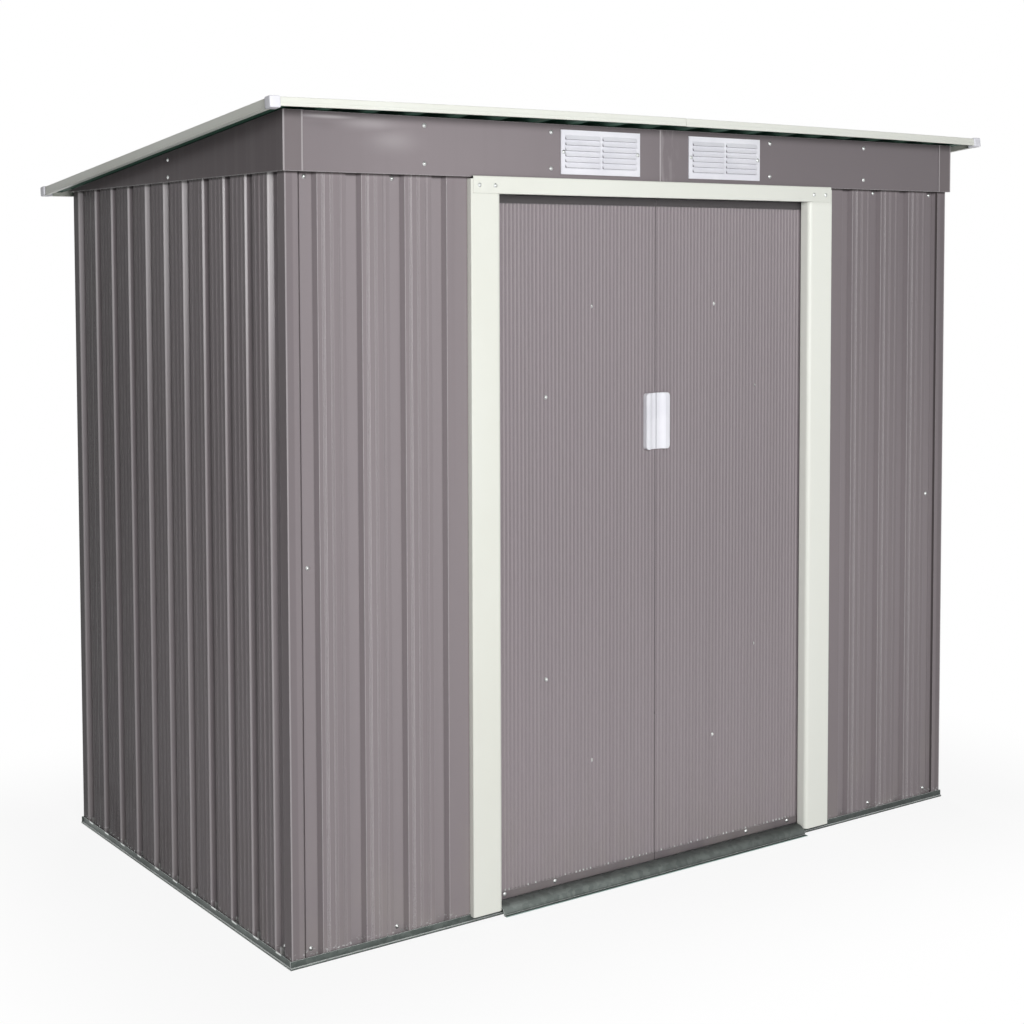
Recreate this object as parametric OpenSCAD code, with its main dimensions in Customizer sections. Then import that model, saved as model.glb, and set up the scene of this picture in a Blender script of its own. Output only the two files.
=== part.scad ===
// Steel garden shed with a single-slope roof and a pair of sliding doors.
// Every metal piece is a folded sheet: a path of bends, thickened to one side and extruded.
// Millimetres, +Z up, +Y to the back. The origin is on the ground under the middle of the shed.

/* [Footprint] */
// Width of the base frame over its toes
base_w = 2010; // [1800:10:2800]
// Depth of the base frame over its toes
base_d = 1154; // [950:2:1800]
// Height of the outer lip of the base frame
rail_h = 18; // [14:1:22]
// Height of the toe at the bottom of the outer lip
rail_toe_h = 4; // [3:0.5:6]
// Gap between the upper part of the lip and the wall face
rail_gap = 1; // [0.5:0.1:1.5]
// Width of the foot of the base frame
rail_foot = 47; // [46:1:60]
// Thickness of the galvanised rails, braces and tracks
rail_t = 1.2; // [0.8:0.1:1.5]
// Setback of the wall face behind the toe of the base frame
wall_inset = 5; // [4:0.5:8]

/* [Wall sheets] */
// Height of the lower edge of the fascia and gables
eave_h = 1649; // [1500:1:1900]
// Height by which the walls run up behind the fascia and gables
wall_lap = 5; // [3:0.5:8]
// Thickness of the painted sheet
sheet_t = 1; // [0.6:0.1:1.2]
// Nominal spacing of the grooves in the walls and roof
rib_pitch = 106; // [96:1:125]
// Width of a groove at its mouth
groove_mouth = 38; // [36:1:42]
// Width of a groove at its floor
groove_floor = 27; // [24:1:28]
// Depth of a groove in the walls
groove_depth = 13; // [10:0.5:14]
// Spacing of the three fine creases on the flat between two grooves
crease_pitch = 20; // [16:1:20]
// Width of a fine crease
crease_w = 7; // [5:0.5:8]
// Depth of a fine crease
crease_depth = 1.4; // [0.8:0.1:1.8]
// Flat leg of a corner panel, on each side of the corner
corner_leg = 30; // [28:0.5:33]
// Distance of the middle of the first groove from a corner
corner_groove = 56; // [54:0.5:60]
// Open joint between a corner panel and the edge of the next sheet
corner_joint = 5; // [3:0.5:6]
// Height of the folded edge of a sheet, which stands on the corner panel's tongue
edge_fold = 4; // [3:0.5:5]
// Gap between sheets and rails that lie on each other
seat = 0.2; // [0.1:0.05:0.3]
// Outer radius of the bends in the roof trim and the door surround
bend_r = 2.5; // [2:0.1:3]

/* [Doorway] */
// Width of the doorway between the jambs
opening_w = 948; // [840:2:1000]
// Width of a jamb's face
jamb_w = 79.5; // [70:0.5:90]
// Depth by which the faces of jambs and header stand out from the wall
jamb_proud = 16; // [14:0.5:18]
// Width of the lip that a jamb folds round the edge of the wall sheet
jamb_lip = 20; // [15:1:30]
// Radius of a jamb's bend at the doorway
jamb_bend = 10; // [4:0.5:12]
// Height of a jamb's lower end above the ground
jamb_foot = 14; // [10:0.5:16]
// Gap between the edge of a front wall sheet and the fold of the jamb round it
wall_edge_gap = 3; // [2:0.5:5]
// Gap between a jamb's upper end and the lower edge of the fascia
jamb_head_gap = 4; // [1:0.5:8]
// Height of the header's face
header_h = 38; // [34:1:44]
// Distance by which the header stops short of a jamb's outer edge
header_short = 5; // [3:0.5:10]
// Height by which the header overlaps the fascia
header_lap = 2.5; // [2:0.5:5]
// Width of the flange under the header
header_flange = 22; // [16:1:23]
// Height of the threshold ramp above the lip of the base frame
ramp_over = 5; // [4.5:0.5:8]
// Distance by which the ramp's rounded nose stands in front of the lip of the base frame
ramp_nose = 14; // [13:0.5:17]
// Width of the flat foot in front of the ramp's nose
ramp_foot = 10; // [6:0.5:12]
// Gap between the ramp and each jamb
ramp_gap = 2; // [1:0.5:4]

/* [Doors] */
// Gap between the two closed doors
meeting_gap = 2; // [1:0.5:4]
// Clearance of a sliding door from what it passes
door_clear = 5; // [5:0.5:6]
// Depth of a door over its rails
door_t = 18; // [16:0.5:20]
// Width by which a closed door reaches behind its jamb
door_lap = 10; // [6:1:16]
// Distance of a door's top edge below the level of the header's underside
door_head_gap = 1; // [0.5:0.5:3]
// Height of a door's bottom edge above the ground
door_z = 22; // [21:0.5:24]
// Height of the face of a door's top and bottom rails
door_rail_h = 18; // [14:1:24]
// Spacing of the fine upright ribs of a door
door_rib_pitch = 10.7; // [9:0.1:14]
// Width of the hollow between two fine ribs, at its mouth
door_hollow_w = 8.5; // [6:0.1:8.8]
// Width of the hollow between two fine ribs, at its floor
door_hollow_floor = 3.2; // [2:0.1:4]
// Depth of the fine upright ribs of a door
door_rib_depth = 3; // [2:0.25:4]
// Distance of a door's inner stiffener from its meeting edge
stiffener_in = 187; // [150:1:200]
// Distance of a door's outer stiffener from its meeting edge
stiffener_out = 321; // [300:1:360]
// Width of a stiffener
stiffener_w = 30; // [24:1:40]
// Width of a door handle
handle_w = 35; // [32:1:44]
// Height of a door handle
handle_h = 134; // [110:1:150]
// Height of the middle of the handles above the ground
handle_z = 1086; // [900:1:1200]
// Depth of a door handle
handle_d = 12; // [10:0.5:14]
// Corner radius of a door handle
handle_corner = 8; // [4:0.5:10]
// Width of the lip along the outer edge of a door handle
handle_lip = 6; // [4:0.5:8]
// Thickness of a door handle at the bottom of its finger hold
handle_base = 4; // [3:0.5:6]
// Radius of the finger hold in a door handle
handle_scoop = 24; // [20:1:28]

/* [Door tracks] */
// Height of the bottom track's upright above the ground
track_h = 17; // [15:0.5:18]
// Length of a glide at the top or bottom of a door
glide_l = 60; // [40:1:80]
// Distance of the glides from the ends of a door
glide_in = 45; // [40:1:60]
// Running clearance of the glides in their tracks
glide_clear = 1; // [0.5:0.1:1.2]
// Width of the neck of a top glide
glide_neck = 8; // [6:0.5:9]
// Width of a bottom glide across its track
shoe_w = 12; // [10:0.5:14]
// Height of a bottom glide above the foot of its track
shoe_gap = 4; // [3:0.5:5]
// Height of the top track
top_track_h = 32; // [28:1:34]
// Distance of the top track below the top of the walls
track_drop = 2; // [1:0.5:4]
// Distance by which the tracks stop short of the corner panels
track_short = 8; // [4:1:20]

/* [Fascia and vents] */
// Depth by which the fascia and gables stand out from the walls
fascia_proud = 8; // [7:0.5:10]
// Width by which the right half of the fascia laps over the left half
fascia_lap = 12; // [8:0.5:20]
// Leg that a gable folds round onto the fascia
gable_leg = 46; // [25:1:55]
// Width of a vent
vent_w = 230; // [180:1:260]
// Height of a vent
vent_h = 100; // [90:1:100]
// Distance of a vent's middle from the middle of the fascia
vent_x = 190; // [150:1:300]
// Height of a vent's lower edge above the fascia's lower edge
vent_up = 12; // [8:0.5:12]
// Thickness of a vent's plate
vent_t = 3; // [2:0.5:4]
// Width of the plain rim of a vent
vent_rim = 12; // [9:0.5:14]
// Width of the bar between the two columns of louvres
vent_bar = 8; // [5:0.5:10]
// Rows of louvres in a vent
vent_rows = 6; // [4:1:6]
// Depth by which a louvre stands out from its plate
louvre_d = 5; // [3:0.5:6]
// Thickness of a louvre's lower edge
louvre_t = 1; // [0.8:0.1:1.5]

/* [Roof] */
// Overhang of the roof beyond the base frame at each side
side_overhang = 60; // [45:1:90]
// Overhang of the roof beyond the base frame at front and back
end_overhang = 62; // [50:1:90]
// Depth of a groove in the roof
roof_groove_depth = 9; // [7:0.5:10]
// Fall of the roof from front to back, in degrees
roof_angle = 5.86; // [4:0.02:8]
// Height of the roof trim's face
trim_h = 22; // [20:0.5:26]
// Depth of the trim below the underside of the roof sheets
trim_drop = 9; // [7:0.5:10]
// Width of the trim's upper flange
trim_flange = 25; // [20:1:35]
// Width of the trim's lower lip
trim_lip = 10; // [6:1:14]
// Height of the bead along the lower edge of the trim
bead_h = 4; // [3:0.5:5]
// Depth by which the bead stands out from the trim's face
bead_out = 1.5; // [1:0.1:2]
// Distance of the joint in the front trim from the middle, to the right
trim_joint_x = 23; // [-200:1:200]
// Reach of a corner cap along each edge of the roof
cap_w = 33; // [32:1:60]
// Wall thickness of a corner cap
cap_t = 2.5; // [1.5:0.1:3]
// Height of a corner cap above the top of the trim
cap_rise = 7; // [5:0.5:9]
// Radius of a corner cap's outer upright edge
cap_r = 6; // [4:0.5:8]
// Width of the bevel round the top of a corner cap
cap_bevel = 4; // [2:0.5:5]
// Depth of the beam under the middle of the roof
beam_h = 50; // [40:1:60]
// Width of the beam's flanges
beam_w = 30; // [20:1:40]
// Distance of the beam's web in front of the middle of the shed
beam_front = 27.5; // [0:0.5:80]

/* [Frame] */
// Height of the middle of the braces halfway up the walls
brace_z = 834; // [700:1:1000]
// Height of the flange of a brace or top rail on the wall
brace_h = 36; // [28:1:44]
// Width of the flange of a brace or top rail that reaches into the shed
brace_w = 24; // [18:1:28]

/* [Hidden] */
$fn = 48;
wall_grey = [0.57, 0.54, 0.55];
cream = [0.92, 0.93, 0.89];
moulded_white = [0.95, 0.94, 0.96];
galvanised = [0.50, 0.53, 0.51];

bend_steps = 4;
nose_steps = 8;

half_w = base_w / 2 - wall_inset;
half_d = base_d / 2 - wall_inset;
rail_toe = wall_inset - rail_t - rail_gap;
lip_y = rail_toe - base_d / 2;
wall_top = eave_h + wall_lap;
flank = (groove_mouth - groove_floor) / 2;
tongue_depth = groove_depth + edge_fold + seat;
edge_reach = corner_groove - corner_leg - flank - corner_joint;
wall_back = groove_depth + sheet_t;
lap_back = wall_back + sheet_t + seat;

face_y = -half_d - jamb_proud;
header_y = face_y - sheet_t - seat;
opening_h = eave_h + header_lap - header_h;
jamb_back = -half_d + wall_back + 2 * sheet_t;
door_front = jamb_back + door_clear;
door_back = door_front + door_t;
door_top = opening_h - door_head_gap;
meeting_x = meeting_gap / 2;
door_w = opening_w / 2 + door_lap - meeting_x;
panel_front = door_front + sheet_t + seat;
panel_back = panel_front + door_rib_depth + sheet_t;

track_x = half_w - corner_groove - groove_floor / 2 - track_short;
top_track_front = -half_d + wall_back + seat;
top_track_z = wall_top - track_drop;
top_track_back = door_back;
track_mid = (top_track_front + rail_t + top_track_back - rail_t) / 2;

fascia_y = -half_d - fascia_proud;
right_fascia_y = fascia_y - sheet_t - seat;
gable_leg_y = right_fascia_y - sheet_t - seat;
gable_x = half_w + fascia_proud;

roof_origin_y = base_d / 2;
roof_origin_z = wall_top + seat;
roof_half_w = base_w / 2 + side_overhang;
roof_half_d = base_d / 2 + end_overhang;
trim_top = trim_h - trim_drop;
cap_low = -trim_drop - seat - cap_t;
cap_high = trim_top + cap_rise;
roof_front = (roof_half_d + roof_origin_y + cap_low * sin(roof_angle)) / cos(roof_angle);
roof_back = (roof_half_d - roof_origin_y - cap_high * sin(roof_angle)) / cos(roof_angle);
trim_set = cap_t + seat + bead_out;
trim_half_w = roof_half_w - trim_set;
trim_front = roof_front - trim_set;
trim_back = roof_back - trim_set;
roof_groove_count = round((2 * trim_half_w - 2 * groove_mouth) / rib_pitch);
roof_groove_step = (2 * trim_half_w - 2 * groove_mouth) / roof_groove_count;
roof_lap_a = round(roof_groove_count / 3);
roof_lap_b = round(2 * roof_groove_count / 3);

// Height of the underside of the roof sheets at a distance y from the middle of the shed
function roof_under(y) = roof_origin_z + (roof_origin_y - y) * tan(roof_angle);

// Unit normal to the left of the step from a to b
function left_normal(a, b) = let (d = (b - a) / norm(b - a)) [-d.y, d.x];

// Shift that moves bend i of a path onto the other face of a sheet of unit thickness
function bend_shift(path, i) =
    let (last = len(path) - 1)
    let (before = left_normal(path[max(i - 1, 0)], path[max(i, 1)]))
    let (after = left_normal(path[min(i, last - 1)], path[min(i + 1, last)]))
    (before + after) / (1 + before * after);

// Outline of a sheet of thickness t folded along a path, with the thickness on the path's left
function folded(path, t) =
    concat(path, [for (i = [len(path) - 1 : -1 : 0]) path[i] + t * bend_shift(path, i)]);

function turned(v, angle) = [v.x * cos(angle) - v.y * sin(angle), v.x * sin(angle) + v.y * cos(angle)];

// Arc of radius r that replaces the corner b between a and c, or the corner itself where r is zero
function bend_arc(a, b, c, r) =
    let (d0 = (b - a) / norm(b - a), d1 = (c - b) / norm(c - b))
    let (turn = atan2(cross(d0, d1), d0 * d1))
    let (start = b - r * tan(abs(turn) / 2) * d0)
    let (centre = start + r * sign(turn) * [-d0.y, d0.x])
    r == 0 ? [b] : [for (k = [0 : bend_steps]) centre + turned(start - centre, turn * k / bend_steps)];

// Path whose inner corners are rounded, one radius for each
function bent(path, radii) = concat(
    [path[0]],
    [for (i = [1 : len(path) - 2]) each bend_arc(path[i - 1], path[i], path[i + 1], radii[i - 1])],
    [path[len(path) - 1]]
);

// Four corners of a groove with its middle at c
function groove(c, mouth, floor_w, depth) = [
    [c - mouth / 2, 0],
    [c - floor_w / 2, depth],
    [c + floor_w / 2, depth],
    [c + mouth / 2, 0]
];

// Groove of a wall or roof sheet, which differ in depth
function sheet_groove(c, depth) = groove(c, groove_mouth, groove_floor, depth);

// Three fine creases on the flat with its middle at c
function creases(c) =
    [for (k = [-1 : 1]) each groove(c + k * crease_pitch, crease_w, crease_w / 3, crease_depth)];

// Grooves and the creased flats after them, for a list of groove middles with an equal step
function ribs(list, step, depth) =
    [for (c = list) each concat(sheet_groove(c, depth), creases(c + step / 2))];

// Start of a sheet with its edge folded down onto a corner panel's tongue, in the groove at c
function edge_start(c) = [
    [c - edge_reach, groove_depth + edge_fold],
    [c - edge_reach, groove_depth],
    [c + groove_floor / 2, groove_depth],
    [c + groove_mouth / 2, 0]
];

// End of a sheet, the mirror image of its folded start
function edge_end(c) = [for (i = [3 : -1 : 0]) [2 * c - edge_start(c)[i].x, edge_start(c)[i].y]];

// Start of a sheet that laps under the one before it, in the groove at c
function under_start(c, depth) = [
    [c, depth + sheet_t + seat],
    [c + groove_floor / 2, depth + sheet_t + seat],
    [c + groove_mouth / 2, 0]
];

// End of a sheet that laps over the one after it, in the groove at c
function over_end(c, depth) = [
    [c - groove_mouth / 2, 0],
    [c - groove_floor / 2, depth],
    [c + groove_floor / 4, depth]
];

// Middles of the grooves along a wall, from corner to corner
function groove_count(half) = round(2 * (half - corner_groove) / rib_pitch);
function groove_step(half) = 2 * (half - corner_groove) / groove_count(half);
function groove_at(half, i) = corner_groove - half + i * groove_step(half);
function lap_index(half) = floor(groove_count(half) / 2);

// Sheet of a wall from its first corner to the lap in the middle
function first_sheet(half) =
    let (lap = lap_index(half), step = groove_step(half))
    concat(
        edge_start(groove_at(half, 0)),
        creases(groove_at(half, 0) + step / 2),
        ribs([for (i = [1 : lap - 1]) groove_at(half, i)], step, groove_depth),
        over_end(groove_at(half, lap), groove_depth)
    );

// Sheet of a wall from the lap in the middle to its second corner
function second_sheet(half) =
    let (lap = lap_index(half), last = groove_count(half), step = groove_step(half))
    concat(
        under_start(groove_at(half, lap), groove_depth),
        creases(groove_at(half, lap) + step / 2),
        ribs([for (i = [lap + 1 : last - 1]) groove_at(half, i)], step, groove_depth),
        edge_end(groove_at(half, last))
    );

// Extrusions of a flat outline: upright, along the width and along the depth
module upright(outline, z0, z1) {
    translate([0, 0, z0]) linear_extrude(z1 - z0) polygon(outline);
}

module along_x(outline, x0, x1) {
    translate([x0, 0, 0]) rotate([90, 0, 90]) linear_extrude(x1 - x0) polygon(outline);
}

module along_y(outline, y0, y1) {
    translate([0, y1, 0]) rotate([90, 0, 0]) linear_extrude(y1 - y0) polygon(outline);
}

module box(low, high) {
    translate(low) cube(high - low);
}

// Frame of the roof: its XY plane is the underside of the roof sheets, its X axis is over the back rail
module on_roof() {
    translate([0, roof_origin_y, roof_origin_z]) rotate([-roof_angle, 0, 0]) children();
}

module left_of_shed() {
    translate([-half_w, 0, 0]) rotate([0, 0, -90]) children();
}

module right_of_shed() {
    translate([half_w, 0, 0]) rotate([0, 0, 90]) children();
}

module back_of_shed() {
    translate([0, half_d, 0]) rotate([0, 0, 180]) children();
}

// Base frame: an upright lip that steps out to a toe, and a foot under the walls
function lip_path(edge, low) = [
    [edge + rail_toe, rail_h],
    [edge + rail_toe, rail_toe_h],
    [edge, rail_toe_h],
    [edge, low]
];

function rail_path(edge) = concat(lip_path(edge, 0), [[edge + rail_foot, 0]]);

module end_rail() {
    color(galvanised) along_x(folded(rail_path(-base_d / 2), rail_t), -base_w / 2, base_w / 2);
}

module side_rail() {
    foot_end = base_d / 2 - rail_foot - seat;
    lip_end = -lip_y - rail_t - seat;
    color(galvanised) {
        along_y(folded(rail_path(-base_w / 2), rail_t), -foot_end, foot_end);
        along_y(folded(lip_path(-base_w / 2, rail_t + seat), rail_t), -lip_end, lip_end);
    }
}

module base_rail_front() { end_rail(); }
module base_rail_back() { mirror([0, 1, 0]) end_rail(); }
module base_rail_left() { side_rail(); }
module base_rail_right() { mirror([1, 0, 0]) side_rail(); }

// Threshold: a ramp with a rounded nose and a flat foot, and an upright back on the foot of the rail
module threshold_ramp() {
    back_y = -half_d + wall_back;
    nose_y = lip_y - ramp_nose;
    rise = rail_h + ramp_over - rail_t;
    end_x = opening_w / 2 - ramp_gap;
    nose = [for (i = [nose_steps : -1 : 0]) let (angle = 90 * i / nose_steps)
        [back_y - (back_y - nose_y) * cos(angle), rail_t + rise * sin(angle)]];
    path = concat([[back_y, rail_t]], nose, [[nose_y - ramp_foot, rail_t]]);
    color(galvanised) along_x(folded(path, rail_t), -end_x, end_x);
}

module bottom_door_track() {
    upright_y = (door_front + door_back) / 2 - rail_t / 2;
    color(galvanised)
    along_x(folded([
        [upright_y + rail_t, track_h],
        [upright_y + rail_t, rail_t],
        [upright_y - door_t / 2, rail_t]
    ], -rail_t), -track_x, track_x);
}

module top_door_track() {
    low = top_track_z - top_track_h;
    color(galvanised)
    along_x(folded([
        [top_track_back, low],
        [top_track_back, top_track_z],
        [top_track_front, top_track_z],
        [top_track_front, low]
    ], rail_t), -track_x, track_x);
}

// Walls
module front_wall() {
    inner_end = -opening_w / 2 - sheet_t - wall_edge_gap;
    room = half_w - corner_groove - opening_w / 2 - jamb_w - groove_mouth / 2;
    count = floor(room / rib_pitch);
    first = corner_groove - half_w;
    color(wall_grey)
    translate([0, -half_d, 0])
    upright(folded(concat(
        edge_start(first),
        creases(first + rib_pitch / 2),
        ribs([for (i = [1 : count - 1]) first + i * rib_pitch], rib_pitch, groove_depth),
        sheet_groove(first + count * rib_pitch, groove_depth),
        [[inner_end, 0]]
    ), sheet_t), rail_t, wall_top);
}

module wall_sheet(path) {
    color(wall_grey) upright(folded(path, sheet_t), rail_t, wall_top);
}

module front_wall_left() { front_wall(); }
module front_wall_right() { mirror([1, 0, 0]) front_wall(); }
module left_wall_back() { left_of_shed() wall_sheet(first_sheet(half_d)); }
module left_wall_front() { left_of_shed() wall_sheet(second_sheet(half_d)); }
module right_wall_front() { right_of_shed() wall_sheet(first_sheet(half_d)); }
module right_wall_back() { right_of_shed() wall_sheet(second_sheet(half_d)); }
module back_wall_right() { back_of_shed() wall_sheet(first_sheet(half_w)); }
module back_wall_left() { back_of_shed() wall_sheet(second_sheet(half_w)); }

// Corner panel: two flat legs, each with a tongue under the edge of the next sheet
module corner_panel() {
    slope = flank * tongue_depth / groove_depth;
    tip = corner_groove + groove_floor / 2;
    color(wall_grey)
    translate([-half_w, -half_d, 0])
    upright(folded([
        [tongue_depth, tip],
        [tongue_depth, corner_leg + slope],
        [0, corner_leg],
        [0, 0],
        [corner_leg, 0],
        [corner_leg + slope, tongue_depth],
        [tip, tongue_depth]
    ], sheet_t), rail_t, wall_top);
}

module corner_front_left() { corner_panel(); }
module corner_front_right() { mirror([1, 0, 0]) corner_panel(); }
module corner_back_left() { mirror([0, 1, 0]) corner_panel(); }
module corner_back_right() { mirror([1, 0, 0]) mirror([0, 1, 0]) corner_panel(); }

// Angle rails on the inner faces of the side and back walls, with their shelf at a height z
module wall_rails(z) {
    reach = corner_groove + groove_floor / 2 + track_short;
    profile = folded([
        [lap_back + seat, z - brace_h],
        [lap_back + seat, z],
        [lap_back + seat + brace_w, z]
    ], -rail_t);
    color(galvanised) {
        translate([-half_w, 0, 0]) along_y(profile, reach - half_d, half_d - reach);
        mirror([1, 0, 0]) translate([-half_w, 0, 0]) along_y(profile, reach - half_d, half_d - reach);
        mirror([0, 1, 0]) translate([0, -half_d, 0]) along_x(profile, reach - half_w, half_w - reach);
    }
}

module wall_top_rails() { wall_rails(wall_top); }
module mid_braces() { wall_rails(brace_z + brace_h / 2); }

// Fascia: two halves that lap in the middle, with a return under them onto the wall
module fascia(y, x0, x1) {
    color(wall_grey)
    along_x(folded([
        [y, roof_under(y + sheet_t) - seat],
        [y, eave_h],
        [-half_d - seat, eave_h]
    ], sheet_t), x0, x1);
}

module front_fascia_left() {
    fascia(fascia_y, -gable_x + sheet_t + seat, -seat);
}

module front_fascia_right() {
    fascia(right_fascia_y, 0, gable_x - sheet_t - seat);
    color(wall_grey)
    box(
        [-fascia_lap, right_fascia_y, eave_h],
        [0, right_fascia_y + sheet_t, roof_under(right_fascia_y + sheet_t) - seat]
    );
}

// Gable: a tapered side sheet with a leg folded round onto the fascia and a return onto the wall
module gable() {
    back_y = half_d;
    tall = roof_under(gable_leg_y) + trim_h;
    color(wall_grey) {
        difference() {
            upright(folded([
                [-gable_x, back_y],
                [-gable_x, gable_leg_y],
                [-gable_x + gable_leg, gable_leg_y]
            ], sheet_t), eave_h, tall);
            on_roof() box([-base_w, -2 * base_d, -seat], [base_w, base_d, 2 * base_d]);
        }
        box([-gable_x, -half_d + seat, eave_h], [-half_w - seat, back_y, eave_h + sheet_t]);
    }
}

module left_gable() { gable(); }
module right_gable() { mirror([1, 0, 0]) gable(); }

// Vent: a plate with two columns of slots, each under a sloping louvre
module vent(y) {
    low = eave_h + vent_up;
    row_h = (vent_h - 2 * vent_rim) / vent_rows;
    slot_w = (vent_w - 2 * vent_rim - vent_bar) / 2;
    slot_h = row_h / 2;
    color(moulded_white)
    translate([0, y, low]) {
        difference() {
            box([-vent_w / 2, -vent_t, 0], [vent_w / 2, 0, vent_h]);
            for (side = [-1, 1], row = [0 : vent_rows - 1])
                translate([side * (slot_w + vent_bar) / 2, 0, vent_rim + row * row_h + row_h / 4])
                box([-slot_w / 2, -2 * vent_t, 0], [slot_w / 2, vent_t, slot_h]);
        }
        for (side = [-1, 1], row = [0 : vent_rows - 1])
            translate([side * (slot_w + vent_bar) / 2, 0, vent_rim + row * row_h + row_h / 4 + slot_h])
            along_x([[0, 0], [0, row_h / 4], [-vent_t, row_h / 4], [-vent_t - louvre_d, -slot_h],
                [-vent_t - louvre_d + louvre_t, -slot_h], [-vent_t, 0]], -slot_w / 2, slot_w / 2);
    }
}

module vent_left() { translate([-vent_x, 0, 0]) vent(fascia_y); }
module vent_right() { translate([vent_x, 0, 0]) vent(right_fascia_y); }

// Jamb: folded round the edge of the wall sheet, with its face running up behind the header
module jamb() {
    outer_x = -opening_w / 2 - jamb_w;
    inner_x = -opening_w / 2;
    path = bent([
        [outer_x, -half_d - seat],
        [outer_x, face_y],
        [inner_x, face_y],
        [inner_x, jamb_back],
        [inner_x - jamb_lip, jamb_back]
    ], [bend_r, jamb_bend, bend_r]);
    upper_path = bent([
        [outer_x, -half_d - seat],
        [outer_x, face_y],
        [inner_x - jamb_bend, face_y]
    ], [bend_r]);
    color(cream)
    difference() {
        union() {
            upright(folded(path, sheet_t), jamb_foot, opening_h - seat);
            upright(folded(upper_path, sheet_t), jamb_foot, eave_h - jamb_head_gap);
        }
        box([outer_x - jamb_w, lip_y - seat, 0], [inner_x + jamb_w, 0, rail_h + seat]);
    }
}

module left_jamb() { jamb(); }
module right_jamb() { mirror([1, 0, 0]) jamb(); }

// Header: an angle that laps over the jambs and the fascia, with a flange under it between the jambs
module door_header() {
    end_x = opening_w / 2 + jamb_w - header_short;
    flange_x = opening_w / 2 - seat;
    top_z = opening_h + header_h;
    path = bent([[right_fascia_y - seat, top_z], [header_y, top_z], [header_y, opening_h]], [bend_r]);
    color(cream) {
        along_x(folded(path, sheet_t), -end_x, end_x);
        box([-flange_x, header_y, opening_h], [flange_x, face_y + header_flange, opening_h + sheet_t]);
    }
}

// Doors: the left one is drawn, with its meeting edge near the middle, and the right one mirrors it
module door_panel() {
    count = floor(door_w / door_rib_pitch);
    margin = (door_w - count * door_rib_pitch) / 2;
    start = -meeting_x - door_w;
    first = start + margin + door_rib_pitch / 2;
    color(wall_grey)
    translate([0, panel_front, 0])
    upright(folded(concat(
        [[start, 0]],
        [for (i = [0 : count - 1])
            each groove(first + i * door_rib_pitch, door_hollow_w, door_hollow_floor, door_rib_depth)],
        [[-meeting_x, 0]]
    ), sheet_t), door_z + sheet_t, door_top - sheet_t);
}

module door_rails() {
    x0 = -meeting_x - door_w;
    color(wall_grey) {
        along_x(folded([
            [door_back, door_top - door_rail_h],
            [door_back, door_top],
            [door_front, door_top],
            [door_front, door_top - door_rail_h]
        ], sheet_t), x0, -meeting_x);
        along_x(folded([
            [door_front, door_z + door_rail_h],
            [door_front, door_z],
            [door_back, door_z],
            [door_back, door_z + door_rail_h]
        ], sheet_t), x0, -meeting_x);
    }
}

module door_stiffeners() {
    web_y = panel_back + seat;
    flange_y = door_back - sheet_t - seat;
    color(galvanised)
    for (x = [stiffener_in, stiffener_out])
        translate([-meeting_x - x, 0, 0])
        upright(folded([
            [-stiffener_w / 2, flange_y],
            [-stiffener_w / 2, web_y],
            [stiffener_w / 2, web_y],
            [stiffener_w / 2, flange_y]
        ], sheet_t), door_z + sheet_t, door_top - sheet_t);
}

// Handle: a rounded plate with a lip along its outer edge and a scooped finger hold
module handle_plate() {
    linear_extrude(handle_d)
    union() {
        translate([0, handle_corner]) square([handle_w, handle_h - 2 * handle_corner]);
        translate([handle_corner, 0]) square([handle_w - handle_corner, handle_h]);
        for (y = [handle_corner, handle_h - handle_corner])
            translate([handle_corner, y]) circle(handle_corner);
    }
}

module door_handle() {
    color(moulded_white)
    translate([-meeting_x - handle_w, panel_front - seat, handle_z - handle_h / 2])
    rotate([90, 0, 0])
    difference() {
        handle_plate();
        translate([handle_lip + handle_scoop, -handle_h, handle_base + handle_scoop])
            rotate([-90, 0, 0])
            cylinder(r = handle_scoop, h = 3 * handle_h);
        translate([handle_lip + handle_scoop, -handle_h, handle_base])
            cube([handle_w, 3 * handle_h, handle_d]);
    }
}

// Glides: T-shaped blocks in the top track, and slotted shoes astride the bottom track
module door_glides() {
    head_low = top_track_z - top_track_h + glide_clear;
    head_high = top_track_z - rail_t - door_clear;
    upright_y = (door_front + door_back) / 2;
    shoe_low = 2 * rail_t + shoe_gap;
    color(moulded_white)
    for (x = [-meeting_x - door_w + glide_in, -meeting_x - glide_in]) {
        translate([x, track_mid, 0]) {
            box([-glide_l / 2, -glide_neck / 2, door_top], [glide_l / 2, glide_neck / 2, head_low]);
            box(
                [-glide_l / 2, top_track_front + rail_t + glide_clear - track_mid, head_low],
                [glide_l / 2, top_track_back - rail_t - glide_clear - track_mid, head_high]
            );
        }
        translate([x, upright_y, 0])
        difference() {
            box([-glide_l / 2, -shoe_w / 2, shoe_low], [glide_l / 2, shoe_w / 2, door_z]);
            box(
                [-glide_l, -rail_t / 2 - glide_clear, 0],
                [glide_l, rail_t / 2 + glide_clear, track_h + seat]
            );
        }
    }
}

module left_door_panel() { door_panel(); }
module left_door_rails() { door_rails(); }
module left_door_stiffeners() { door_stiffeners(); }
module left_door_handle() { door_handle(); }
module left_door_glides() { door_glides(); }
module right_door_panel() { mirror([1, 0, 0]) door_panel(); }
module right_door_rails() { mirror([1, 0, 0]) door_rails(); }
module right_door_stiffeners() { mirror([1, 0, 0]) door_stiffeners(); }
module right_door_handle() { mirror([1, 0, 0]) door_handle(); }
module right_door_glides() { mirror([1, 0, 0]) door_glides(); }

// Roof sheets: grooves run from front to back and lap sideways, with the flats on top
function roof_groove(i) = -trim_half_w + groove_mouth + i * roof_groove_step;

// Path of a roof sheet between two lapped grooves, with its height above the roof frame
function roof_flat(i) = roof_groove(i) + roof_groove_step / 2;

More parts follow.
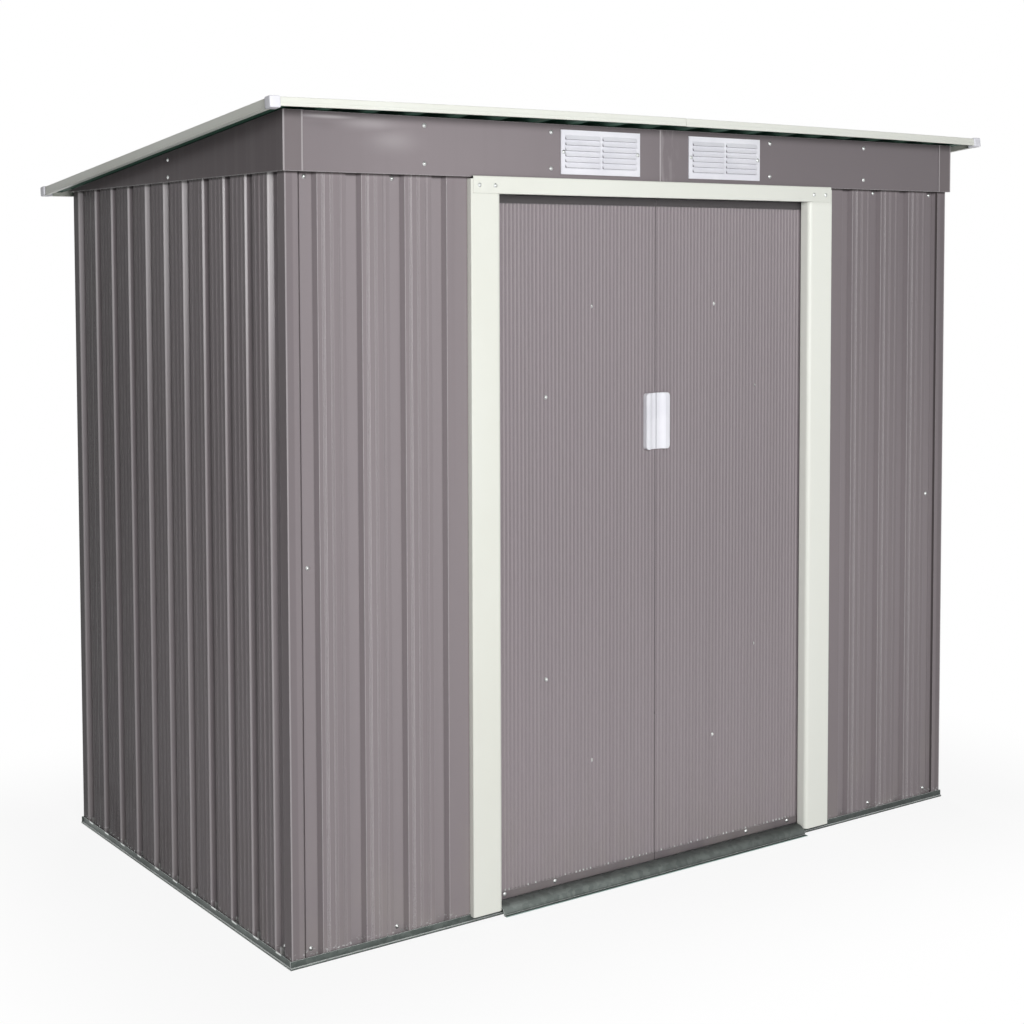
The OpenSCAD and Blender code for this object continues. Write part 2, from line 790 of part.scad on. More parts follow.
function roof_path(first, last, edge0, edge1) =
    [for (p = concat(
        first == 0
            ? concat([[edge0, 0]], sheet_groove(roof_groove(0), roof_groove_depth))
            : under_start(roof_groove(first), roof_groove_depth),
        creases(roof_flat(first)),
        ribs([for (i = [first + 1 : last - 1]) roof_groove(i)], roof_groove_step, roof_groove_depth),
        last == roof_groove_count
            ? concat(sheet_groove(roof_groove(last), roof_groove_depth), [[edge1, 0]])
            : over_end(roof_groove(last), roof_groove_depth)
    )) [p.x, roof_groove_depth + 2 * sheet_t + seat - p.y]];

module roof_sheet(first, last) {
    inset = bend_r + seat;
    edge = trim_half_w - inset;
    color(wall_grey)
    on_roof()
    along_y(folded(roof_path(first, last, -edge, edge), -sheet_t), inset - trim_front, trim_back - inset);
}

module roof_sheet_left() { roof_sheet(0, roof_lap_a); }
module roof_sheet_middle() { roof_sheet(roof_lap_a, roof_lap_b); }
module roof_sheet_right() { roof_sheet(roof_lap_b, roof_groove_count); }

// Beam under the middle of the roof, a channel between the gables
module roof_beam() {
    end_x = gable_x - sheet_t - seat;
    top_z = roof_under(-beam_front + beam_w) - seat;
    color(galvanised)
    along_x(folded([
        [-beam_front + beam_w, top_z],
        [-beam_front, top_z],
        [-beam_front, top_z - beam_h],
        [-beam_front + beam_w, top_z - beam_h]
    ], rail_t), -end_x, end_x);
}

// Edge trim of the roof: an upper flange on the sheets, an upright face, a bead and a lower lip
function trim_path(edge, inward) = bent([
    [edge + inward * trim_flange, trim_top],
    [edge, trim_top],
    [edge, bead_h - trim_drop],
    [edge - inward * bead_out, bead_h - bead_out - trim_drop],
    [edge - inward * bead_out, -trim_drop],
    [edge + inward * trim_lip, -trim_drop]
], [bend_r, 0, 0, 0]);

module front_trim(x0, x1) {
    color(cream) on_roof() along_x(folded(trim_path(-trim_front, 1), sheet_t), x0, x1);
}

module front_roof_trim_left() { front_trim(-trim_half_w, trim_joint_x - seat); }
module front_roof_trim_right() { front_trim(trim_joint_x + seat, trim_half_w); }

module back_roof_trim() {
    color(cream) on_roof() along_x(folded(trim_path(trim_back, -1), -sheet_t), -trim_half_w, trim_half_w);
}

module side_trim() {
    stop = trim_flange + 2 * seat;
    color(cream)
    on_roof()
    along_y(folded(trim_path(-trim_half_w, 1), sheet_t), -trim_front + stop, trim_back - stop);
}

module left_roof_trim() { side_trim(); }
module right_roof_trim() { mirror([1, 0, 0]) side_trim(); }

// Corner caps: moulded boxes with a bevelled top, open towards the middle of the roof, over the trims
module cap_plan() {
    union() {
        translate([cap_r, 0]) square([cap_w - cap_r, cap_w]);
        translate([0, cap_r]) square([cap_w, cap_w - cap_r]);
        translate([cap_r, cap_r]) circle(cap_r);
    }
}

module roof_corner_cap(x_side, y_edge, y_side) {
    side_view = [
        [0, cap_low],
        [cap_w, cap_low],
        [cap_w, cap_high - cap_bevel],
        [cap_w - cap_bevel, cap_high],
        [cap_bevel, cap_high],
        [0, cap_high - cap_bevel]
    ];
    translate([x_side * roof_half_w, y_edge, 0])
    mirror([x_side > 0 ? 1 : 0, 0, 0])
    mirror([0, y_side > 0 ? 1 : 0, 0])
    difference() {
        intersection() {
            translate([0, 0, cap_low]) linear_extrude(cap_high - cap_low) cap_plan();
            along_x(side_view, 0, cap_w);
            along_y(side_view, 0, cap_w);
        }
        box([cap_t, cap_t, cap_low + cap_t], [2 * cap_w, 2 * cap_w, trim_top + seat]);
    }
}

module roof_corner_caps() {
    color(moulded_white)
    on_roof()
    for (side = [-1, 1]) {
        roof_corner_cap(side, -roof_front, -1);
        roof_corner_cap(side, roof_back, 1);
    }
}

base_rail_front();
base_rail_back();
base_rail_left();
base_rail_right();
threshold_ramp();
bottom_door_track();
top_door_track();
front_wall_left();
front_wall_right();
left_wall_front();
left_wall_back();
right_wall_front();
right_wall_back();
back_wall_left();
back_wall_right();
corner_front_left();
corner_front_right();
corner_back_left();
corner_back_right();
wall_top_rails();
mid_braces();
front_fascia_left();
front_fascia_right();
left_gable();
right_gable();
vent_left();
vent_right();
left_jamb();
right_jamb();
door_header();
roof_sheet_left();
roof_sheet_middle();
roof_sheet_right();
roof_beam();
front_roof_trim_left();
front_roof_trim_right();
back_roof_trim();
left_roof_trim();
right_roof_trim();
roof_corner_caps();
left_door_panel();
left_door_rails();
left_door_stiffeners();
left_door_handle();
left_door_glides();
right_door_panel();
right_door_rails();
right_door_stiffeners();
right_door_handle();
right_door_glides();
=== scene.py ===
# %% [markdown]
# A small steel garden shed with a single-slope roof and two sliding doors.
# The solids come from the CAD model, which is the fixed frame of this scene: nothing here moves or reshapes them.
# What is made here is how they look: paint, plastic and zinc finishes, the screws that hold the sheets, and the light.
# The front roof trim and the roof's corner caps are made again, bowed and rounded, in place of plainer solids.

# %% Load the solids
import math
from collections import namedtuple

import bpy
import numpy as np
from mathutils import Matrix, Vector
from mathutils.bvhtree import BVHTree


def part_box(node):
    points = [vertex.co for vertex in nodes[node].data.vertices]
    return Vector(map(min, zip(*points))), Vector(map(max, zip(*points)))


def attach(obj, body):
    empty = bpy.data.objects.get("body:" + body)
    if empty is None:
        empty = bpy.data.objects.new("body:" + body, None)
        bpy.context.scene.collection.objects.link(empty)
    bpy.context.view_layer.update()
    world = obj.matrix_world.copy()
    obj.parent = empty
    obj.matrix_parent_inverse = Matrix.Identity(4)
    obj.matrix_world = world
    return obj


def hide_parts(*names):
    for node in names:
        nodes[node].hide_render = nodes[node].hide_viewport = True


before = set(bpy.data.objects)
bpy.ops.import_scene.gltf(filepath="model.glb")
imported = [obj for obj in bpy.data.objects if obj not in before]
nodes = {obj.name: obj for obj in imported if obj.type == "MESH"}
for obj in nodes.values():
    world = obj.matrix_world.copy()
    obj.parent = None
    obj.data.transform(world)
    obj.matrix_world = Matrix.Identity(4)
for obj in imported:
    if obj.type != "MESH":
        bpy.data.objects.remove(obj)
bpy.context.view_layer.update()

# %% [markdown]
# The camera comes first, because every later choice is judged through it.
# It could be placed by eye, but its place was solved from the corners of the shed instead: it stands about 4.5 m away,
# in front and to the left, at 1.46 m, and looks almost level. The lens is shifted down, as a photographer does
# to keep the wall corners upright.

# %% Camera
camera_place = Vector((-2.6366, -3.6414, 1.4550))
camera_yaw, camera_pitch, camera_roll = 0.6070, -0.0541, -0.0036
forward = Vector((math.sin(camera_yaw) * math.cos(camera_pitch),
                  math.cos(camera_yaw) * math.cos(camera_pitch),
                  math.sin(camera_pitch)))
level = Vector((math.cos(camera_yaw), -math.sin(camera_yaw), 0.0))
upward = level.cross(forward)
aside = math.cos(camera_roll) * level + math.sin(camera_roll) * upward
above = math.cos(camera_roll) * upward - math.sin(camera_roll) * level
lens = bpy.data.cameras.new("camera")
lens.sensor_fit = "HORIZONTAL"
lens.sensor_width = 36.0
lens.lens = 59.85
lens.shift_x = 0.0254
lens.shift_y = -0.15
camera = bpy.data.objects.new("camera", lens)
camera.matrix_world = Matrix.Translation(camera_place) @ Matrix((aside, above, -forward)).transposed().to_4x4()
bpy.context.scene.collection.objects.link(camera)
bpy.context.scene.camera = camera
print("camera at", tuple(camera_place), "lens", lens.lens)

# %% [markdown]
# Finishes are written as sums. A Wire is one output of a shader node, and adding or multiplying wires adds Math nodes,
# so a line such as dust * 0.3 + 0.4 reads like the thought behind it. Any other node comes from the one method add.


# %% Sums on shader sockets
class Wire:
    """One output of a shader node, on which sums are written as on a number."""

    def __init__(self, tree, socket=None):
        self.tree, self.socket = tree, socket

    def add(self, kind, settings=None, inputs=None, output=0):
        """Adds a node of this kind: its settings first, then the values or links of its sockets."""
        node = self.tree.nodes.new(kind)
        for name, value in (settings or {}).items():
            setattr(node, name, value)
        for name, value in (inputs or {}).items():
            if isinstance(value, Wire):
                self.tree.links.new(value.socket, node.inputs[name])
            else:
                node.inputs[name].default_value = value
        return Wire(self.tree, node.outputs[output])

    def feed(self, node, name):
        """Joins this wire to a socket of a node that is already there."""
        self.tree.links.new(self.socket, node.inputs[name])

    def maths(self, operation, *values):
        """One Math node on these values or wires."""
        return self.add("ShaderNodeMath", {"operation": operation}, dict(enumerate(values)))

    def __add__(self, other):
        return self.maths("ADD", self, other)

    def __sub__(self, other):
        return self.maths("SUBTRACT", self, other)

    def __rsub__(self, other):
        return self.maths("SUBTRACT", other, self)

    def __mul__(self, other):
        return self.maths("MULTIPLY", self, other)

    def __truediv__(self, other):
        return self.maths("DIVIDE", self, other)

    def __pow__(self, other):
        return self.maths("POWER", self, other)

    def __rpow__(self, other):
        return self.maths("POWER", other, self)

    __radd__ = __add__
    __rmul__ = __mul__

    def size(self):
        """The value without its sign."""
        return self.maths("ABSOLUTE", self)

    def most(self, other):
        """The larger of two values."""
        return self.maths("MAXIMUM", self, other)

    def least(self, other):
        """The smaller of two values."""
        return self.maths("MINIMUM", self, other)

    def part(self, axis):
        """The X, Y or Z part of a vector."""
        return self.add("ShaderNodeSeparateXYZ", {}, {0: self}, axis)

    def fade(self, start, end):
        """0 before start, 1 past end and a smooth S between them; start may be the larger."""
        return self.add("ShaderNodeMapRange", {"interpolation_type": "SMOOTHSTEP"}, {0: self, 1: start, 2: end})

    def tint(self, under, over):
        """A colour: under where this wire is 0, over where it is 1."""
        return self.add("ShaderNodeMix", {"data_type": "RGBA"}, {0: self, 6: under, 7: over}, 2)

    def grain(self, per_metre, detail=2.0, shift=(0.0, 0.0, 0.0)):
        """Cloudy noise from 0 to 1, with so many spots per metre along x, y and z of this vector."""
        stretched = self.add("ShaderNodeMapping", {}, {"Vector": self, "Location": shift, "Scale": per_metre})
        return self.add("ShaderNodeTexNoise", {}, {"Vector": stretched, "Scale": 1.0, "Detail": detail})


print("a wire is", Wire.__doc__)

# %% [markdown]
# Colours are written as they look on a screen, from 0 to 255, because that is how paint is compared by eye.
# Blender adds up light in linear values, so one function turns them. It could be done by hand for each colour,
# but then no one could read them. A second function starts a finish with the values that are the same all over it.


# %% Colours and new finishes
def screen(red, green, blue):
    """The linear colour of a screen colour given from 0 to 255."""
    part = np.array((red, green, blue)) / 255.0
    linear = np.where(part <= 0.04045, part / 12.92, ((part + 0.055) / 1.055) ** 2.4)
    return (*linear.tolist(), 1.0)


def new_finish(name, constants):
    """A material, its shader with these constant values, and the place on the piece as a wire."""
    finish = bpy.data.materials.new(name)
    finish.use_nodes = True
    shader = finish.node_tree.nodes["Principled BSDF"]
    for socket, value in constants.items():
        shader.inputs[socket].default_value = value
    place = Wire(finish.node_tree).add("ShaderNodeTexCoord", {}, {}, "Object")
    return finish, shader, place


print("grey paint as a linear colour:", screen(147, 140, 142))

# %% [markdown]
# Two things are wanted by every finish: how far a spot is tucked into a corner, where dirt stays and shade is painted
# in, and a normal that is rounded over the sharp bends of the solids, so that a folded edge catches the light.
# Both are asked of Cycles by node, because the solids are loose triangles and their edges can't be bevelled.


# %% Corners and folded edges
def tucked(place, reach):
    """1 deep in a corner and 0 on open surface: one minus the open share of the sky within reach metres."""
    openness = place.add("ShaderNodeAmbientOcclusion", {"samples": 2}, {"Distance": reach}, "AO")
    return 1 - openness


def folded(place, radius):
    """The normal as if every edge were rounded to this radius."""
    return place.add("ShaderNodeBevel", {"samples": 3}, {"Radius": radius})


def bumped(place, height, normal):
    """The normal of a surface raised by height metres."""
    return place.add("ShaderNodeBump", {}, {"Strength": 1.0, "Distance": 1.0, "Height": height, "Normal": normal})


def bend(place, rounded):
    """How far a rounded normal leans from the face's own: 0 on a flat, more on a bend."""
    true = place.add("ShaderNodeNewGeometry", {}, {}, "True Normal")
    return 1 - place.add("ShaderNodeVectorMath", {"operation": "DOT_PRODUCT"}, {0: rounded, 1: true}, "Value")


def facing(place, axis):
    """How far the face looks along an axis, from -1 to 1."""
    return place.add("ShaderNodeNewGeometry", {}, {}, "True Normal").part(axis)


print("helpers of every finish:", *(helper.__name__ for helper in (tucked, folded, bumped, bend, facing)))

# %% [markdown]
# The walls are thin steel, coated grey before it was rolled into ribs. Rolling leaves fine upright lines,
# and a sheet held only along its edges bulges a little between them, which shows in the sheen.
# Rain leaves faint runs, dust settles at the foot, and cut edges show bare zinc. Corners get dirt and painted shade.
# One function gives what every grey sheet shares. What one kind alone shows comes from a second one, its marks.
# It answers with the new colour and, where the sheet has them, a height, bare chips and rubbed, glossy places.

# %% Grey coated sheet
GREY = screen(149, 141, 143)
GREY_DARK = screen(136, 128, 131)
GREY_SHADE = screen(122, 115, 118)
GREY_PALE = screen(208, 203, 205)
DUST = screen(158, 152, 146)
SHADE_AND_GRIME = screen(52, 46, 46)
ZINC = screen(214, 217, 215)
SHEET_BEND, BULGE_HEIGHT = 0.0022, 0.0016
PEEL_FINE, PEEL_HEIGHT = (600.0, 600.0, 600.0), 0.000012
Marks = namedtuple("Marks", "colour height chipped rubbed", defaults=(0.0, 0.0, 0.0))


def sheet_finish(name, marks, paint, line_depth=0.00002, shine=0.25, runs=0.2):
    """Coated steel sheet: paint with roll lines this deep, bulges, runs, dust at the foot, dirt and painted shade in
    corners, bare edges, its marks.
    """
    finish, shader, place = new_finish(name, {"IOR": 1.5, "Specular IOR Level": shine, "Coat Roughness": 0.24})
    lines = place.grain((150.0, 150.0, 0.5), 3.0)
    bulge = place.grain((2.6, 2.6, 1.5), 1.0)
    peel = place.grain(PEEL_FINE, 1.0)
    streaks = place.grain((48.0, 48.0, 0.6), 3.0, (3.0, 1.0, 0.0)).fade(0.42, 0.78)
    spots = place.grain((11.0, 11.0, 7.0), 4.0)
    foot = place.part("Z").fade(0.35, 0.02) * spots.fade(0.35, 0.7)
    colour = (streaks * runs).tint(paint, GREY_DARK)
    colour = (foot * 0.28).tint(colour, DUST)
    # Painted shade: corners and creases darkened along with their dirt.
    colour = (tucked(place, 0.004) ** 1.5 * 0.7).tint(colour, SHADE_AND_GRIME)
    rounded = folded(place, SHEET_BEND)
    own = marks(place, bend(place, rounded), colour)
    bare = facing(place, "Z").size().fade(0.75, 0.95).most(own.chipped)
    height = lines * line_depth + bulge * BULGE_HEIGHT + peel * PEEL_HEIGHT + own.height
    bumped(place, height, rounded).feed(shader, "Normal")
    bare.tint(own.colour, ZINC).feed(shader, "Base Color")
    (0.27 + spots * 0.08 + foot * 0.2 - bare * 0.05).feed(shader, "Roughness")
    (bare * 0.8).feed(shader, "Metallic")
    if isinstance(own.rubbed, Wire):
        own.rubbed.feed(shader, "Coat Weight")
    return finish


print("grey coat and its shades:", GREY, GREY_DARK, GREY_SHADE)

# %% [markdown]
# On a wall sheet the place in the groove decides the tone. The bends at a groove's mouth get a painted highlight and
# gloss, its flanks keep their gloss, and a painted glint sits at its foot. Depth in the groove could be painted as an
# attribute, but the walls stand square in the frame, so the distance from their outer planes gives it.
# Most grooves of the side walls are rolled softer, so only the outer half of their flanks is steep.
# The side walls' flats get painted shade, deeper towards the back, and groove floors and side flanks painted light.
# The top right and the outer left of the front wall are painted darker, as shade.
# The seam of a front corner panel is dark, the top edge behind the fascia has a painted shadow,
# and the fold at the corner a painted highlight.

# %% Wall sheets
HALF_WIDTH, HALF_DEPTH, WALL_TOP = 1.0, 0.572, 1.649
FLANK_END, GROOVE_FLOOR = 0.0112, 0.0125
FRONT_GROOVE, FRONT_STEP, SEAM = 0.626, 0.106, 0.9689
SOFT_FROM, SOFT_TO, SOFT_BLUR = 0.155, 0.460, 0.005
SIDE_SHADE = screen(84, 78, 80)
GLINT_WHITE = screen(240, 240, 238)


def wall_marks(place, fold, colour):
    """Painted highlights on bends, glossy flanks, soft grooves, painted shade and light, dark seams, chips, a painted
    glint at the foot.
    """
    x, y, up = place.part("X"), place.part("Y"), place.part("Z")
    sunk = (HALF_WIDTH - x.size()).least(HALF_DEPTH - y.size())
    side, front = x.size().fade(0.980, 0.984), y.fade(-0.55, -0.56)
    flat, floor = sunk.fade(0.003, 0.001), sunk.fade(FLANK_END, GROOVE_FLOOR)
    flank = sunk.fade(0.0006, 0.0020) * sunk.fade(GROOVE_FLOOR + 0.0003, FLANK_END)
    past_middle = x.maths("WRAP", x.size() - FRONT_GROOVE, FRONT_STEP / 2, -FRONT_STEP / 2) * x.maths("SIGN", x)
    # Mask of the painted highlight on the groove bends, stronger past the middle of a front groove; it also sets the
    # gloss.
    edge = fold.fade(0.0, 0.03) * sunk.fade(0.006, 0.003) * side.most(0.35 + past_middle.fade(0.0, 0.004) * 0.65)
    corner = x.size().fade(HALF_WIDTH - 0.0042, HALF_WIDTH - 0.0025) * facing(place, "Y").fade(-0.5, -0.85)
    seam = (x.size() - SEAM).size().fade(0.0020, 0.0008) * front
    top = up.fade(WALL_TOP - 0.0065, WALL_TOP - 0.0020)
    # Painted shade: the side walls' flats darker, more towards the back.
    colour = (side * flat * (0.27 + y.fade(-0.42, 0.5) * 0.72)).tint(colour, SIDE_SHADE)
    # Painted light: groove floors paler, more on the side walls, and side flanks paler towards the back.
    colour = (floor * (0.08 + side * 0.14)).tint(colour, GREY_PALE)
    colour = (side * flank * y.fade(-0.3, 0.3) * 0.08).tint(colour, GREY_PALE)
    # Painted shade: the top of the right front wall and the outer flats of the left front wall darker.
    colour = (x.fade(0.3, 0.75) * up.fade(0.6, 1.6) * 0.5).tint(colour, GREY_SHADE)
    colour = (x.fade(-0.80, -0.95) * front * 0.25).tint(colour, GREY_SHADE)
    # Painted highlights: the groove bends and the corner fold made paler.
    colour = (edge * (0.8 - side * 0.35)).most(corner * 0.35).tint(colour, GREY_PALE)
    # The seam is a dark joint. The wall's top under the fascia gets a painted shadow.
    colour = (seam * 0.8).most(top * 0.75).tint(colour, SHADE_AND_GRIME)
    chips = up.fade(0.034, 0.016) * place.grain((130.0, 130.0, 260.0), 2.0).fade(0.60, 0.66)
    outer = (facing(place, "X") * x.maths("SIGN", x)).fade(0.05, 0.2)
    # Painted glint: near-white at the foot of the side walls' grooves.
    foot_glint = side * outer * sunk.fade(0.0085, FLANK_END) * up.fade(0.025, 0.020)
    soft = side * y.size().fade(SOFT_FROM - SOFT_BLUR, SOFT_FROM + SOFT_BLUR)
    soft = soft * y.size().fade(SOFT_TO + SOFT_BLUR, SOFT_TO - SOFT_BLUR)
    gloss = edge * 0.8 + flank * side * (1 - soft * sunk.fade(0.004, 0.006)) * 0.6
    return Marks(foot_glint.tint(colour, GLINT_WHITE), soft * sunk.most(0.005) * 0.6, chips, gloss.least(1.0))


ribbed = sheet_finish("ribbed_grey_sheet", wall_marks, screen(143, 135, 138), line_depth=0.00011, shine=0.06, runs=0.4)
print("wall finish:", ribbed.name)

# %% [markdown]
# The fascia over the doors is the same sheet, laid flat. It has a buckle by its top left corner, with a painted
# highlight along its rim, and the lap in its middle is scuffed. It is painted darker to the right, at its left end and
# under the roof's
# edge, as shade. A buckle could be pushed into the mesh, but it is too shallow to change the outline, so bump and tone
# are enough:
# a sum of bells, wide ones for the bump and narrower ones for the painted highlight on the rim.

# %% Fascia
DENTS = (((-0.905, 1.757), (0.060, 0.016)), ((-0.746, 1.722), (0.055, 0.032)))
RIM_TOP, RIM_MIDDLE, RIM_LOW = (((-0.905, 1.762), (0.062, 0.0035)), ((-0.800, 1.752), (0.060, 0.012)),
                                ((-0.748, 1.718), (0.050, 0.020)))
DENT_DEPTH, LAP_EDGE = 0.004, -0.0125
ROOF_SHADE = (1.750, 1.774)


def bell(place, centre, reach):
    """1 at the centre and falling off as a bell, e to the minus distance squared, with its own reach along x and z."""
    across = (place.part("X") - centre[0]) / reach[0]
    along = (place.part("Z") - centre[1]) / reach[1]
    return 2.718 ** (-1 * (across * across + along * along))


def fascia_marks(place, fold, colour):
    """A buckle with a painted highlight on its rim, painted shade at the ends and the top, a scuffed lap with a pale
    line at its edge, and painted highlights on the bends.
    """
    x = place.part("X")
    dent = sum(bell(place, *dent) for dent in DENTS)
    rim = bell(place, *RIM_TOP).most(bell(place, *RIM_MIDDLE) * 0.5).most(bell(place, *RIM_LOW) * 0.4)
    edge = fold.fade(0.0, 0.03)
    lap = x.fade(LAP_EDGE - 0.0025, LAP_EDGE) * x.fade(0.060, -0.008)
    lap_line = x.fade(LAP_EDGE - 0.0003, LAP_EDGE + 0.0003) * x.fade(LAP_EDGE + 0.0027, LAP_EDGE + 0.0019)
    scuffs = lap * place.grain((70.0, 70.0, 16.0), 3.0).fade(0.44, 0.62)
    # Painted shade: darker towards the right and at the left end.
    colour = (x.fade(-0.6, 0.3) * 0.95).most(x.fade(-0.70, -0.95) * 0.45).tint(colour, GREY_SHADE)
    # Painted shade under the roof's edge.
    colour = (place.part("Z").fade(*ROOF_SHADE) * 0.5).tint(colour, SHADE_AND_GRIME)
    # Painted highlight along the buckle's rim.
    colour = (rim * 0.55).tint(colour, GREY_PALE)
    # Scuffs on the lap, a pale line at the lap's edge, and painted highlights on the bends.
    colour = (scuffs * 0.16).most(edge * 0.6).most(lap_line * 0.7).tint(colour, GREY_PALE)
    return Marks(colour, height=dent * -DENT_DEPTH, rubbed=edge * 0.8)


fascia = sheet_finish("fascia_grey_sheet", fascia_marks, screen(142, 134, 137))
print("fascia finish:", fascia.name)

# %% [markdown]
# The gables close the sides below the roof, and each folds round onto the fascia with a narrow leg.
# The leg's grey is painted lighter, as lit from the front, with a painted highlight at its fold and at its end. The
# slope side's grey is painted darker, as shade.
# One finish serves both, told apart by the way the face looks.

# %% Gables
LEG_FOLD, LEG_END, LEG_GREY = 1.008, 0.962, screen(127, 120, 122)


def gable_marks(place, fold, colour):
    """The leg on the fascia painted lighter than the slope side, painted highlights at both its edges and on the bends,
    and painted shade at the top.
    """
    edge = fold.fade(0.0, 0.03)
    leg = facing(place, "Y").fade(-0.5, -0.85)
    out = place.part("X").size()
    lines = out.fade(LEG_FOLD - 0.0045, LEG_FOLD - 0.0030).most(out.fade(LEG_END + 0.0045, LEG_END + 0.0030))
    # Painted light: the leg, facing the front, takes a lighter grey than the shaded slope side.
    colour = leg.tint(colour, LEG_GREY)
    # Painted shade under the roof's edge.
    colour = (place.part("Z").fade(*ROOF_SHADE) * 0.5).tint(colour, SHADE_AND_GRIME)
    # Painted highlights on the bends and at the leg's fold and end.
    colour = (edge * 0.6).most(leg * lines * 0.45).tint(colour, GREY_PALE)
    return Marks(colour, rubbed=edge * 0.8)


# The gable's darker grey is painted shade under the roof's overhang.
gable = sheet_finish("gable_grey_sheet", gable_marks, screen(110, 103, 105), shine=0.05)
print("gable finish:", gable.name)

# %% [markdown]
# The doors are rolled with fine upright ribs a few millimetres wide. Their hollows are painted a tone darker, as shade,
# more towards the top, and the ridges have worn through to bare metal in places where they end on the bottom rail.
# Depth behind the door's face tells hollow from ridge, as on the walls. The door sheet's grey is painted paler than the
# walls', as light making up for the shade of its ribs, and its top rail has a painted shadow under the header.

# %% Door sheets
DOOR_FACE, RIB_FOOT = -0.5498, 0.038
HOLLOW = screen(138, 130, 134)
HEADER_SHADOW = screen(52, 52, 52)


def door_marks(place, fold, colour):
    """Hollows painted a tone darker than the ridges, as shade, and bare dashes where ridges end at the bottom rail."""
    depth, up = place.part("Y") - DOOR_FACE, place.part("Z")
    # Painted shade: hollows darker, more towards the top.
    hollow_shade = depth.fade(0.0003, 0.0026) * (0.25 + up.fade(0.1, 0.9) * 0.65)
    low = (up - RIB_FOOT - 0.002).size().fade(0.005, 0.002)
    dashes = low * depth.fade(0.0016, 0.0004) * place.grain((70.0, 1.0, 40.0), 2.0).fade(0.50, 0.56)
    return Marks(hollow_shade.tint(colour, HOLLOW), chipped=dashes)


def rail_marks(place, fold, colour):
    """Painted highlights a little paler on the bends, and a painted shadow on the top rail under the header."""
    edge = fold.fade(0.01, 0.10)
    # Painted shadow: the top rail darkened under the header.
    colour = (place.part("Z").fade(1.50, 1.55) * 0.7).tint(colour, HEADER_SHADOW)
    # Painted highlight: bends a little paler.
    return Marks((edge * 0.3).tint(colour, GREY_PALE), rubbed=edge * 0.3)


# The door sheet's grey is painted paler than the walls', as light making up for the shade of its ribs.
door_sheet = sheet_finish("door_grey_sheet", door_marks, screen(162, 153, 157), line_depth=0.00003)
door_rail = sheet_finish("door_rail_grey", rail_marks, screen(116, 109, 112))
print("door finishes:", door_sheet.name, door_rail.name)

# %% [markdown]
# The roof sheets are the same steel, laid to the fall of the roof. Their upper side takes rain and dust,
# with runs down the slope. Their underside, which shows as a dark band below the front trim, has a dark green
# backing coat, painted dark as the shade under the roof's edge. One finish serves both sides, told apart by the way the
# face looks.

# %% Roof sheet
BACKING_AND_SHADE = screen(38, 78, 62)
ROOF_LINE_DEPTH = 0.00008


def roof_finish(name):
    """Grey coated sheet above, with runs and dust down the slope, dirt and painted shade in corners, and a dark backing
    coat below, painted dark as shade.
    """
    finish, shader, place = new_finish(name, {"IOR": 1.5, "Specular IOR Level": 0.25})
    lines = place.grain((150.0, 0.5, 150.0), 3.0)
    bulge = place.grain((2.6, 1.6, 2.6), 1.0)
    peel = place.grain(PEEL_FINE, 1.0)
    height = lines * ROOF_LINE_DEPTH + bulge * BULGE_HEIGHT + peel * PEEL_HEIGHT
    bumped(place, height, folded(place, SHEET_BEND)).feed(shader, "Normal")
    runs = place.grain((40.0, 0.8, 1.0), 3.0).fade(0.45, 0.75)
    spots = place.grain((9.0, 6.0, 9.0), 5.0)
    below = facing(place, "Z").fade(-0.2, -0.6)
    colour = (runs * 0.6).tint(GREY, GREY_DARK)
    colour = (spots.fade(0.45, 0.75) * 0.35).tint(colour, DUST)
    # Painted shade: corners darkened along with their dirt.
    colour = (tucked(place, 0.02) ** 1.3 * 0.7).tint(colour, SHADE_AND_GRIME)
    # The underside's dark green backing coat is darkened as painted shade.
    below.tint(colour, BACKING_AND_SHADE).feed(shader, "Base Color")
    (0.38 + spots * 0.16 + below * 0.1).feed(shader, "Roughness")
    return finish


roof_sheet = roof_finish("roof_grey_sheet")
print("roof finish:", roof_sheet.name)

# %% [markdown]
# The trims round the roof and the doorway are folded from the same steel with a cream coat.
# Cream shows dirt: a thin grey tone, dirt with painted shade, sits under the beads and in the folds, and the coat has
# aged unevenly.
# The right jamb is painted paler, as light. Slow noise gives the ageing, and the place on the shed picks out that jamb.

# %% Cream trim
CREAM = screen(236, 238, 230)
CREAM_AGED = screen(230, 231, 221)
CREAM_LIT = screen(250, 252, 244)
CREAM_GRIME_AND_SHADE = screen(136, 135, 126)
TRIM_BEND = 0.0015


def cream_finish(name):
    """Cream coat with slow ageing, dirt and painted shade in folds, painted light on the right jamb, and a satin sheen
    over orange peel that scuffs have dulled.
    """
    finish, shader, place = new_finish(name, {"IOR": 1.5, "Specular IOR Level": 0.25})
    peel = place.grain((500.0, 500.0, 500.0), 1.0)
    wave = place.grain((5.0, 5.0, 4.0), 1.0)
    bumped(place, peel * 0.00001 + wave * 0.0006, folded(place, TRIM_BEND)).feed(shader, "Normal")
    aged = place.grain((3.0, 3.0, 2.2), 4.0).fade(0.38, 0.72)
    scuffs = place.grain((70.0, 70.0, 9.0), 5.0).fade(0.66, 0.74)
    right_jamb = place.part("X").fade(0.35, 0.50) * place.part("Z").fade(1.62, 1.60)
    colour = (aged * 0.6).tint(CREAM, CREAM_AGED)
    # Painted light: the right jamb paler.
    colour = (right_jamb * 0.8).tint(colour, CREAM_LIT)
    # Painted shade: folds and corners darkened along with their dirt.
    (tucked(place, 0.010) ** 1.6 * 0.5).tint(colour, CREAM_GRIME_AND_SHADE).feed(shader, "Base Color")
    (0.34 + aged * 0.1 + scuffs * 0.2).feed(shader, "Roughness")
    return finish


cream = cream_finish("cream_trim_coat")
print("trim finish:", cream.name)

